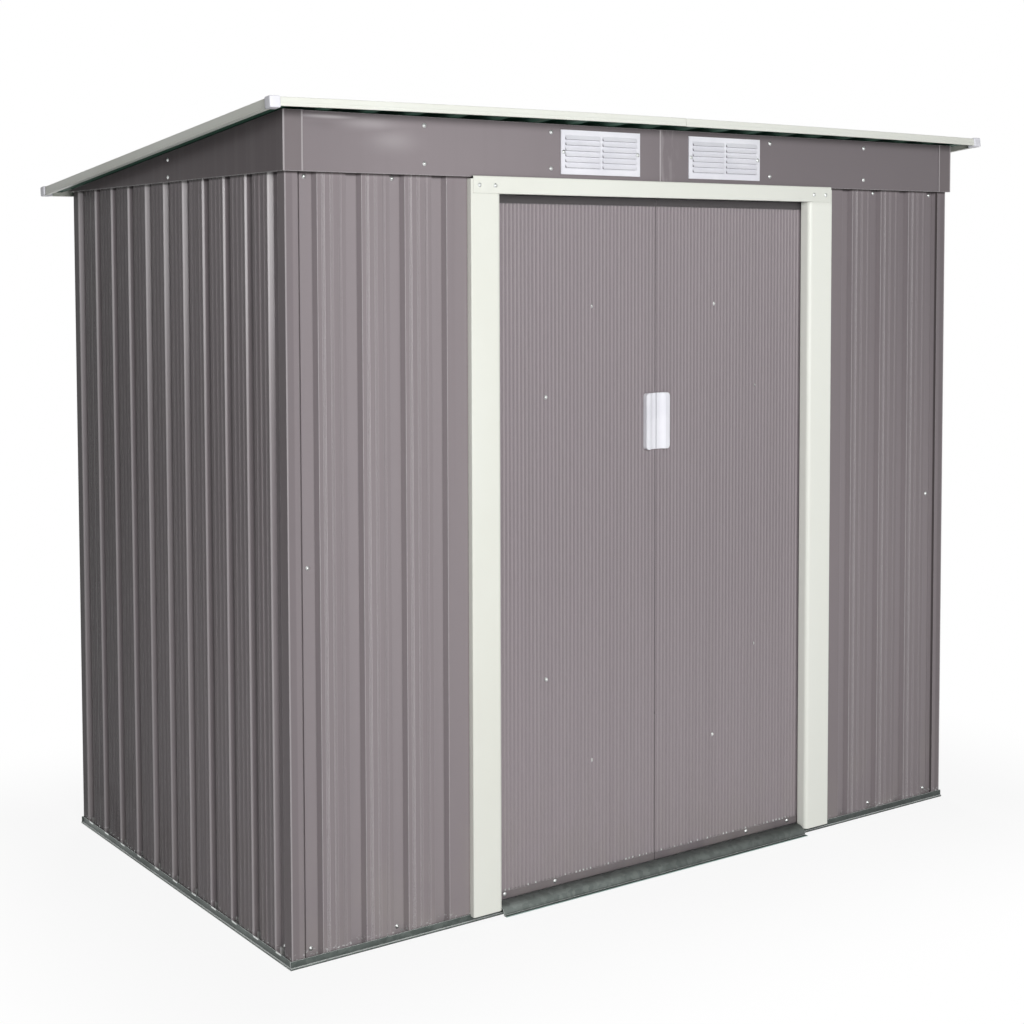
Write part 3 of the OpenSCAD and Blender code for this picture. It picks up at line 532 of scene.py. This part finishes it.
# %% [markdown]
# Vents, handles, glides and roof caps are moulded in white plastic with a faint cold tone.
# A moulding has a fine texture from its tool and keeps dust in its slots, darkened with painted shade. The doors'
# glides are grey with dirt.
# One function with three colours makes both.

# %% White moulded plastic
MOULDED_BEND = 0.0010


def plastic_finish(name, light, shade, dirt_and_shade):
    """Moulding with a fine tool texture, slow changes between two tones, and dirt with painted shade where it is tucked
    in.
    """
    finish, shader, place = new_finish(name, {"IOR": 1.46, "Specular IOR Level": 0.5})
    texture = place.grain((900.0, 900.0, 900.0), 2.0)
    bumped(place, texture * 0.00002, folded(place, MOULDED_BEND)).feed(shader, "Normal")
    tone = place.grain((14.0, 14.0, 14.0), 3.0)
    colour = tone.fade(0.35, 0.7).tint(light, shade)
    # Painted shade: slots and corners darkened along with their dirt.
    (tucked(place, 0.006) ** 1.4 * 0.45).tint(colour, dirt_and_shade).feed(shader, "Base Color")
    (0.30 + tone * 0.16).feed(shader, "Roughness")
    return finish


white = plastic_finish("white_moulding", screen(240, 240, 246), screen(232, 232, 239), screen(122, 126, 132))
grimy = plastic_finish("grimy_moulding", screen(92, 93, 96), screen(70, 70, 73), screen(40, 40, 42))
print("moulding finishes:", white.name, grimy.name)

# %% [markdown]
# The base rails, door tracks, braces and beam are bare galvanised steel. Zinc freezes into crystals a centimetre or so
# wide, each with its own grey, which Voronoi cells draw well. With handling it dulls to a grey-green, dirt with painted
# shade sits in its corners, and worn edges stay bright, every bend painted bright as a highlight too. As with the
# sheets, a second function can add the wear, painted light and painted shade of one piece: it answers with the new
# colour and how far a spot is scoured or painted bright.

# %% Galvanised steel
BRIGHT = screen(226, 230, 228)
ZINC_DIRT_AND_SHADE = screen(38, 40, 38)
RAIL_BEND = 0.0016


def no_wear(place, colour):
    """The colour as it is, and nowhere scoured."""
    return colour, 0.0


def zinc_finish(name, dull, bright, roughness, wear_and_light=no_wear):
    """Galvanised steel: crystal cells of uneven grey, dull bloom in patches, dirt and painted shade in corners, bright
    worn edges with a painted highlight on every bend, and its own wear and painted light.
    """
    finish, shader, place = new_finish(name, {"IOR": 1.5})
    cells = place.add("ShaderNodeTexVoronoi", {}, {"Vector": place, "Scale": 85.0}, "Color").part("X")
    bloom = place.grain((7.0, 7.0, 20.0), 4.0).fade(0.35, 0.7)
    scratches = place.grain((25.0, 25.0, 900.0), 2.0)
    rounded = folded(place, RAIL_BEND)
    bumped(place, cells * 0.00001 + scratches * 0.00002, rounded).feed(shader, "Normal")
    colour = (cells * 0.35 + (1 - bloom) * 0.3).tint(dull, bright)
    # Painted shade: corners darkened along with their dirt.
    colour = (tucked(place, 0.02) ** 1.4 * 0.6).tint(colour, ZINC_DIRT_AND_SHADE)
    colour, wear_and_highlight = wear_and_light(place, colour)
    # Painted highlight on every bend, together with worn edges and this piece's own bright places.
    bend(place, rounded).fade(0.01, 0.12).most(wear_and_highlight).tint(colour, BRIGHT).feed(shader, "Base Color")
    (roughness + bloom * 0.14 + cells * 0.08).feed(shader, "Roughness")
    ((0.82 - bloom * 0.25) * (1 - wear_and_highlight)).feed(shader, "Metallic")
    return finish


frame_zinc = zinc_finish("galvanised_frame", screen(140, 146, 142), screen(176, 181, 178), 0.34)
print("frame finish:", frame_zinc.name)

# %% [markdown]
# The rails on the ground have a step: a low toe, whose top has a painted highlight, and an upright lip, which is dull.
# Behind the lip the grooves of the walls let light in, painted as a highlight on the lip's top edge at each of them.
# The toe of the threshold is rubbed to a pale green, and the rail is painted darker towards the right, as shade.
# All of it follows from the place on the rail, so it is one function of wear and painted light on the finish above.

# %% Ground rails
TOE_TOP, LIP_TOP = 0.004, 0.018
FIRST_GROOVE, GROOVE_STEP = -0.516, 0.1032
RAIL_SHADE = screen(58, 60, 60)
TOE_GREEN = screen(150, 186, 178)
ramp_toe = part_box("threshold_ramp")[0][1]


def rail_wear_and_light(place, colour):
    """A painted highlight on the toe's top and in dashes on the lip at the side walls' grooves, a pale green threshold
    toe, and painted shade at the right end.
    """
    x, y, up = place.part("X"), place.part("Y"), place.part("Z")
    # Painted highlight: the top of the toe.
    toe = facing(place, "Z").fade(0.6, 0.9) * (up - TOE_TOP).size().fade(0.0028, 0.0018)
    # Painted highlight: dashes on the lip's top edge behind the side walls' grooves.
    from_groove = y.maths("PINGPONG", y - FIRST_GROOVE, GROOVE_STEP / 2)
    lip = up.fade(LIP_TOP - 0.0042, LIP_TOP - 0.0026)
    dashes = x.size().fade(0.970, 0.980) * from_groove.fade(0.013, 0.010) * lip
    # Painted shade: darker towards the right.
    colour = (x.fade(-0.5, 0.4) * 0.45).tint(colour, RAIL_SHADE)
    colour = y.fade(ramp_toe + 0.004, ramp_toe + 0.002).tint(colour, TOE_GREEN)
    return dashes.tint(colour, BRIGHT), toe


rail_zinc = zinc_finish("galvanised_rail", screen(64, 72, 69), screen(118, 126, 122), 0.36, rail_wear_and_light)
ramp_zinc = zinc_finish("galvanised_threshold", screen(88, 95, 92), screen(146, 153, 149), 0.36, rail_wear_and_light)
print("rail finishes:", rail_zinc.name, ramp_zinc.name, "threshold toe at", ramp_toe)

# %% [markdown]
# Each solid now gets the finish of what it is made from. A name could be listed for every solid,
# but the table goes by the start of the name, so that a row of sheets such as the back wall's takes one word.

# %% Dress the solids
finish_of = {}
for finish, starts in (
        (ribbed, "front_wall back_wall left_wall right_wall corner_"),
        (fascia, "front_fascia"),
        (gable, "left_gable right_gable"),
        (door_sheet, "left_door_panel right_door_panel"),
        (door_rail, "left_door_rails right_door_rails"),
        (roof_sheet, "roof_sheet"),
        (cream, "left_jamb right_jamb door_header front_roof_trim back_roof_trim left_roof_trim right_roof_trim"),
        (white, "left_door_handle right_door_handle vent_ roof_corner_caps"),
        (grimy, "left_door_glides right_door_glides"),
        (frame_zinc, "left_door_stiffeners right_door_stiffeners"),
        (frame_zinc, "roof_beam wall_top_rails mid_braces top_door_track"),
        (rail_zinc, "base_rail bottom_door_track"),
        (ramp_zinc, "threshold_ramp")):
    finish_of.update(dict.fromkeys(starts.split(), finish))
for name, solid in nodes.items():
    start = max((key for key in finish_of if name.startswith(key)), key=len)
    for material_slot in solid.material_slots:
        material_slot.material = finish_of[start]
print("dressed", len(nodes), "solids")

# %% [markdown]
# The pieces that are made here are grids of points: a profile carried along a line, or turned round an axis.
# Faces could be written by hand, but every grid joins its neighbours in the same way, so one function does it for all.
# A second one turns points and faces into a piece that moves with a body.


# %% Grids and pieces
def grid_faces(rows, columns, closed=False):
    """Quads of a grid kept row by row: point r * columns + c, the one beside it, and both of the next row."""
    row, column = np.meshgrid(np.arange(rows - 1), np.arange(columns if closed else columns - 1), indexing="ij")
    here, beside = row * columns + column, row * columns + (column + 1) % columns
    return np.stack((here, beside, beside + columns, here + columns), axis=-1).reshape(-1, 4)


def fan_faces(ring_start, turns, tip):
    """Triangles from each step along a ring of points to one tip."""
    turn = np.arange(turns)
    return np.stack((ring_start + turn, ring_start + (turn + 1) % turns, np.full(turns, tip)), axis=-1)


def new_piece(name, body, points, faces, finish, slot, *stands_for):
    """A mesh piece that rides on a body, dressed in a finish, and stands for these solids if any are named."""
    mesh = bpy.data.meshes.new(name)
    mesh.from_pydata(points.reshape(-1, 3).tolist(), [], faces)
    mesh.materials.append(finish)
    mesh.update()
    piece = bpy.data.objects.new(name, mesh)
    bpy.context.scene.collection.objects.link(piece)
    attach(piece, body)
    if stands_for:
        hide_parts(*stands_for)
    print(name, len(faces), "faces")
    return piece


def smooth(piece):
    """Shades every face of a piece smooth."""
    mesh = piece.data
    mesh.polygons.foreach_set("use_smooth", np.ones(len(mesh.polygons), dtype=bool))


print("a grid of 3 by 4 points has", len(grid_faces(3, 4)), "faces, closed", len(grid_faces(3, 4, True)))

# %% [markdown]
# The long trim on the front edge of the roof isn't straight: it bows up a little in the middle, where it was pushed
# over the sheets, and it is slimmer than the solid model's, so the dark underside of the roof shows below it.
# A bent bar could do it, but a folded profile carried along the eave is simpler: every point of the profile
# rises by the same bow, less and less towards the flange that lies on the sheets.
# Solidify gives the steel its thickness.

# %% Front roof trim
ROOF_PITCH, ROOF_Y, ROOF_Z = math.radians(5.86), 0.577, 1.6542
EAVE, EAVE_HALF, JOINT, JOINT_GAP, JOINT_STEP = -1.2170, 1.0608, 0.0230, 0.0003, 0.0006
BOW, FLANGE, TRIM_STEEL, TRIM_STATIONS = 0.0070, 0.025, 0.0009, 49
FOLDS = np.array([
    (0.0250, 0.0130), (0.0120, 0.0130), (0.0022, 0.0130), (0.0006, 0.0124), (0.0000, 0.0108), (0.0000, 0.0020),
    (-0.0006, 0.0006), (-0.0008, -0.0008), (-0.0006, -0.0022), (0.0000, -0.0034), (0.0000, -0.0052),
    (0.0007, -0.0060), (0.0022, -0.0060)])


def on_roof(x, run, rise):
    """Points in the frame for places on the roof: run goes down the slope to the back, rise stands square to it."""
    y = ROOF_Y + run * math.cos(ROOF_PITCH) + rise * math.sin(ROOF_PITCH)
    z = ROOF_Z - run * math.sin(ROOF_PITCH) + rise * math.cos(ROOF_PITCH)
    return np.stack(np.broadcast_arrays(x, y, z), axis=-1)


def front_trim(name, solid, start, end, drop):
    """Carries the folds from start to end: each rises by BOW (1 - (x / half)^2), less at the flange, minus drop."""
    x = np.linspace(start, end, TRIM_STATIONS)[:, None]
    inset, rise = FOLDS[None, :, 0], FOLDS[None, :, 1]
    bow = BOW * (1 - (x / EAVE_HALF) ** 2) * np.clip(1 - inset / FLANGE, 0.0, 1.0)
    points = on_roof(x, EAVE + inset, rise + bow - drop)
    faces = grid_faces(TRIM_STATIONS, len(FOLDS)).tolist()
    piece = new_piece(name, "shed", points, faces, cream, "cream_trim", solid)
    steel = piece.modifiers.new("steel", "SOLIDIFY")
    steel.thickness, steel.offset = TRIM_STEEL, -1.0


front_trim("bowed_trim_left", "front_roof_trim_left", -EAVE_HALF, JOINT - JOINT_GAP, 0.0)
front_trim("bowed_trim_right", "front_roof_trim_right", JOINT + JOINT_GAP, EAVE_HALF, JOINT_STEP)

# %% [markdown]
# A small white moulding covers each corner of the roof, where two trims meet. It is a rounded block.
# A cube with a bevel would do, but a superellipsoid is one formula: a sphere whose directions are raised to a small
# power, which pushes it out towards the corners of its box.

# %% Roof corner caps
CAP_HALF, CAP_LOW, CAP_HIGH, CAP_POWER = 0.0125, -0.0100, 0.0146, 0.22
ROOF_SIDE, ROOF_FRONT, ROOF_BACK = 1.0645, -1.2205, 0.0600
CAP_RINGS, CAP_TURNS = 23, 40


def signed_power(value):
    """The value's size raised to the cap's power, with its sign kept."""
    return np.sign(value) * np.abs(value) ** CAP_POWER


def corner_caps(name):
    """Four blocks, centre + half size * (cos b cos a, cos b sin a, sin b), each cosine and sine in the cap's power."""
    tilt = np.linspace(-np.pi / 2, np.pi / 2, CAP_RINGS + 2)[1:-1, None]
    turn = (np.arange(CAP_TURNS) * (2 * np.pi / CAP_TURNS))[None]
    out = signed_power(np.cos(tilt))
    ball = np.stack(np.broadcast_arrays(out * signed_power(np.cos(turn)), out * signed_power(np.sin(turn)),
                                        signed_power(np.sin(tilt))), axis=-1).reshape(-1, 3)
    ball = np.concatenate((ball, [(0.0, 0.0, -1.0), (0.0, 0.0, 1.0)]))
    half = np.array((CAP_HALF, CAP_HALF, (CAP_HIGH - CAP_LOW) / 2))
    middles = np.array([(side * (ROOF_SIDE - CAP_HALF), run, (CAP_HIGH + CAP_LOW) / 2)
                        for side in (-1, 1) for run in (ROOF_FRONT + CAP_HALF, ROOF_BACK - CAP_HALF)])
    blocks = middles[:, None] + ball * half
    bottom = fan_faces(0, CAP_TURNS, len(ball) - 2)[:, (1, 0, 2)]
    top = fan_faces((CAP_RINGS - 1) * CAP_TURNS, CAP_TURNS, len(ball) - 1)
    shift = np.arange(len(middles))[:, None, None] * len(ball)
    faces = (grid_faces(CAP_RINGS, CAP_TURNS, True) + shift).reshape(-1, 4).tolist()
    faces += (np.concatenate((bottom, top)) + shift).reshape(-1, 3).tolist()
    points = on_roof(blocks[..., 0], blocks[..., 1], blocks[..., 2])
    smooth(new_piece(name, "shed", points, faces, white, "white_plastic", "roof_corner_caps"))


corner_caps("rounded_corner_caps")

# %% [markdown]
# Small zinc-plated screws with domed heads hold every sheet. They are too small to be solids of the model,
# so they are made here to their true size, about 6 mm across on a 10 mm washer.
# A screw could be modelled once and copied, but as a profile turned round an axis all the screws of one body
# are worked out as one array and form one piece. A painted shadow darkens the washer round the head: an attribute,
# crown, is 0 at the sheet and 1 at the top of the head, so the finish knows where the washer is.

# %% Screw heads
HEAD = np.array([(0.0048, 0.0), (0.0048, 0.0005), (0.0032, 0.0007), (0.0030, 0.0014), (0.0023, 0.0021),
                 (0.0011, 0.0025)])
CROWN, TURNS = 0.0026, 14
WASHER_SHADOW = screen(84, 84, 84)


def screw_shadow(place, colour):
    """A dark ring of painted shadow round the washer, up to the bright crown."""
    crown = place.add("ShaderNodeAttribute", {"attribute_name": "crown"}, {}, "Fac")
    # Painted shadow: a dark ring round the washer.
    return crown.fade(0.55, 0.25).tint(colour, WASHER_SHADOW), 0.0


def screw_heads(name, body, seats):
    """Turns the profile round each seat's axis: seat + radius (cos a, sin a) in its plane + height along its normal."""
    places = np.array([seat[0] for seat in seats])
    normals = np.array([seat[1] for seat in seats])
    helper = np.where(np.abs(normals[:, 2:]) > 0.7, (1.0, 0.0, 0.0), (0.0, 0.0, 1.0))
    first = np.cross(helper, normals)
    first /= np.linalg.norm(first, axis=1, keepdims=True)
    second = np.cross(normals, first)
    angles = np.arange(TURNS)[:, None] * (2 * np.pi / TURNS)
    ring = np.cos(angles) * first[:, None] + np.sin(angles) * second[:, None]
    rings = HEAD[:, 0, None, None] * ring[:, None] + HEAD[:, 1, None, None] * normals[:, None, None]
    heads = (places[:, None, None] + rings).reshape(len(seats), -1, 3)
    points = np.concatenate((heads, (places + normals * CROWN)[:, None]), axis=1)
    count = points.shape[1]
    shift = np.arange(len(seats))[:, None, None] * count
    faces = (grid_faces(len(HEAD), TURNS, True) + shift).reshape(-1, 4).tolist()
    faces += (fan_faces((len(HEAD) - 1) * TURNS, TURNS, count - 1) + shift).reshape(-1, 3).tolist()
    piece = new_piece(name, body, points, faces, screw_zinc, "galvanised_steel")
    smooth(piece)
    crown = np.append(np.repeat(HEAD[:, 1] / CROWN, TURNS), 1.0)
    piece.data.attributes.new("crown", "FLOAT", "POINT").data.foreach_set("value", np.tile(crown, len(seats)))


screw_zinc = zinc_finish("zinc_screw", screen(196, 198, 196), screen(226, 228, 226), 0.22, screw_shadow)
print("screw finish:", screw_zinc.name, "profile of", len(HEAD), "rings")

# %% [markdown]
# Where a screw sits is asked of the solids. Its depth could be typed in with its place, but then it would float
# or sink when a sheet changes. A straight line is cast at the sheets instead, and the head stands where it lands.

# %% Where screws land
trees = {}
for name, solid in nodes.items():
    corners = np.empty(len(solid.data.vertices) * 3)
    solid.data.vertices.foreach_get("co", corners)
    triangles = [tuple(face.vertices) for face in solid.data.polygons]
    trees[name] = BVHTree.FromPolygons(corners.reshape(-1, 3).tolist(), triangles)


def landing(targets, start, direction):
    """Where a straight line first meets one of the named solids, and which way the face there looks."""
    best = None
    for name in targets:
        where, normal, _, distance = trees[name].ray_cast(Vector(start), Vector(direction))
        if where is not None and (best is None or distance < best[2]):
            best = (where, normal, distance)
    return best


def seats_on(name_starts, spots, direction):
    """The seats of screws that start at these spots and go in a direction, on the solids whose names start so."""
    targets = [name for name in nodes if name.startswith(name_starts)]
    seats = [landing(targets, spot, direction) for spot in spots]
    print(len(seats), "screws on", name_starts, "missed", seats.count(None))
    return [seat for seat in seats if seat]


print("sheets ready for screws:", len(trees))

# %% [markdown]
# The places of the front screws are read off the shed: pairs on the fascia, one in every other groove at the top and
# foot, two at each end of the header, one at each end of a vent, four on each door and two on its bottom rail.
# The sides have them at the foot only, and two on each gable at the end of the roof beam.
# The back is screwed at top and foot.

# %% Place the screws
FAR, FOOT_ROW, TOP_ROW, VENT_ROW, HEADER_ROW = 1.5, 0.029, 1.640, 1.711, 1.631
FASCIA_ROWS, BEAM_END, BEAM_ROWS = (1.754, 1.673), -0.0275, (1.660, 1.700)
BACK_GROOVE, BACK_STEP, VENT_INSET = -0.944, 0.1049, 0.007
INWARDS, FORWARDS = (0, 1, 0), (0, -1, 0)
front_spots = [(x, z) for x in (-0.668, -0.331, 0.342, 0.674) for z in FASCIA_ROWS]
front_spots += [(-0.948, TOP_ROW), (-0.737, 1.641), (-0.948, 0.832), (-0.948, FOOT_ROW), (-0.736, 0.028)]
front_spots += [(0.950, TOP_ROW), (0.734, 1.641), (0.950, 0.837), (0.950, FOOT_ROW), (0.734, 0.028)]
front_spots += [(x, HEADER_ROW) for x in (-0.532, -0.490, 0.488, 0.529)]
for vent in ("vent_left", "vent_right"):
    low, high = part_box(vent)
    front_spots += [(low[0] + VENT_INSET, VENT_ROW), (high[0] - VENT_INSET, VENT_ROW)]
seats = seats_on(("front_", "corner_front", "vent_", "door_header"), [(x, -FAR, z) for x, z in front_spots], INWARDS)
side_spots = [(FIRST_GROOVE + GROOVE_STEP * step, FOOT_ROW) for step in range(0, 11, 2)]
side_spots += [(BEAM_END, z) for z in BEAM_ROWS]
for side, out in (("left", -1), ("right", 1)):
    spots = [(out * FAR, y, z) for y, z in side_spots]
    seats += seats_on((side + "_wall", side + "_gable"), spots, (-out, 0, 0))
back_spots = [(BACK_GROOVE + BACK_STEP * step, FAR, z) for step in range(0, 19, 2) for z in (FOOT_ROW, TOP_ROW)]
seats += seats_on(("back_wall",), back_spots, FORWARDS)
screw_heads("shed_screws", "shed", seats)

# %% Place the door screws
door_spots = [(0.190, 1.362), (0.190, 0.297), (0.325, 1.157), (0.325, 0.508), (0.444, 0.033), (0.301, 0.033)]
for side, out in (("left", -1), ("right", 1)):
    spots = [(out * x, -FAR, z) for x, z in door_spots]
    seats = seats_on((side + "_door_panel", side + "_door_rails"), spots, INWARDS)
    screw_heads(side + "_door_screws", side + "_door", seats)

# %% [markdown]
# The shed stands on a white studio floor in a pale surround. A white picture could be had with more light,
# but that would bleach the paint. Instead the floor and the surround show white to the camera and to reflections,
# and give only a weak fill to the surfaces. The floor keeps a tenth of its own shading near the shed, for the shadow.


# %% Surround
def far_white(wire):
    """1 for what the camera, a reflection or glass sees, and 0 for light that falls on surfaces."""
    kinds = ("Is Camera Ray", "Is Glossy Ray", "Is Transmission Ray")
    camera_ray, glossy_ray, glass_ray = (wire.add("ShaderNodeLightPath", {}, {}, kind) for kind in kinds)
    return camera_ray.most(glossy_ray).most(glass_ray)


WHITE, FILL = (1.0, 1.0, 1.0, 1.0), 0.16
surround = bpy.data.worlds.new("surround")
surround.use_nodes = True
background = surround.node_tree.nodes["Background"]
background.inputs["Color"].default_value = WHITE
(far_white(Wire(surround.node_tree)) * (1.0 - FILL) + FILL).feed(background, "Strength")
bpy.context.scene.world = surround
print("surround fills with", FILL)

# %% Floor
FLOOR_HALF, FLOOR_POINTS = 12.0, 9
FLOOR_WHITE = (0.76, 0.76, 0.76, 1.0)
line = np.linspace(-FLOOR_HALF, FLOOR_HALF, FLOOR_POINTS)
across, along = np.meshgrid(line, line)
floor_points = np.stack((across, along, np.zeros_like(across)), axis=-1).reshape(-1, 3)
floor_mesh = bpy.data.meshes.new("floor")
floor_mesh.from_pydata(floor_points.tolist(), [], grid_faces(FLOOR_POINTS, FLOOR_POINTS).tolist())
floor = bpy.data.objects.new("floor", floor_mesh)
bpy.context.scene.collection.objects.link(floor)
white_floor, floor_shader, place = new_finish(
    "white_floor", {"Base Color": FLOOR_WHITE, "Roughness": 0.9, "Specular IOR Level": 0.0})
floor_tree = white_floor.node_tree
apart = (place.part("X").size() - HALF_WIDTH).most(place.part("Y").size() - HALF_DEPTH)
shown = far_white(place) * apart.fade(-0.02, 0.0) * (apart.fade(0.0, 0.8) * 0.1 + 0.9)
glow = place.add("ShaderNodeEmission", {}, {"Color": WHITE, "Strength": 1.0})
lit = Wire(floor_tree, floor_shader.outputs[0])
floor_look = place.add("ShaderNodeMixShader", {}, {0: shown, 1: lit, 2: glow})
floor_look.feed(floor_tree.nodes["Material Output"], "Surface")
floor_mesh.materials.append(white_floor)
print("floor", 2 * FLOOR_HALF, "m wide")

# %% [markdown]
# One broad soft lamp stands in front and a little to the left, level with the left wall, so that this wall
# is only grazed and stays in shade. A weaker one behind on the right keeps the far sides from going flat and dark.
# A sun would do for the front, but its hard edges aren't a studio's.


# %% Lamps
def soft_lamp(name, size, power, place, target):
    """A square lamp of this size in metres, at a place and turned to its target."""
    data = bpy.data.lights.new(name, "AREA")
    data.shape, data.size, data.energy = "SQUARE", size, power
    lamp = bpy.data.objects.new(name, data)
    aim = Vector(target) - Vector(place)
    lamp.matrix_world = Matrix.Translation(Vector(place)) @ aim.to_track_quat("-Z", "Y").to_matrix().to_4x4()
    bpy.context.scene.collection.objects.link(lamp)
    print(name, "at", place, "power", power)


soft_lamp("key_lamp", size=2.0, power=164.0, place=(-1.8, -4.7, 2.1), target=(-0.1, -0.5, 0.9))
soft_lamp("rear_lamp", size=2.0, power=90.0, place=(2.2, 4.6, 3.2), target=(0.2, 0.5, 0.9))
bpy.context.scene.view_settings.view_transform = "Standard"

# %% [markdown]
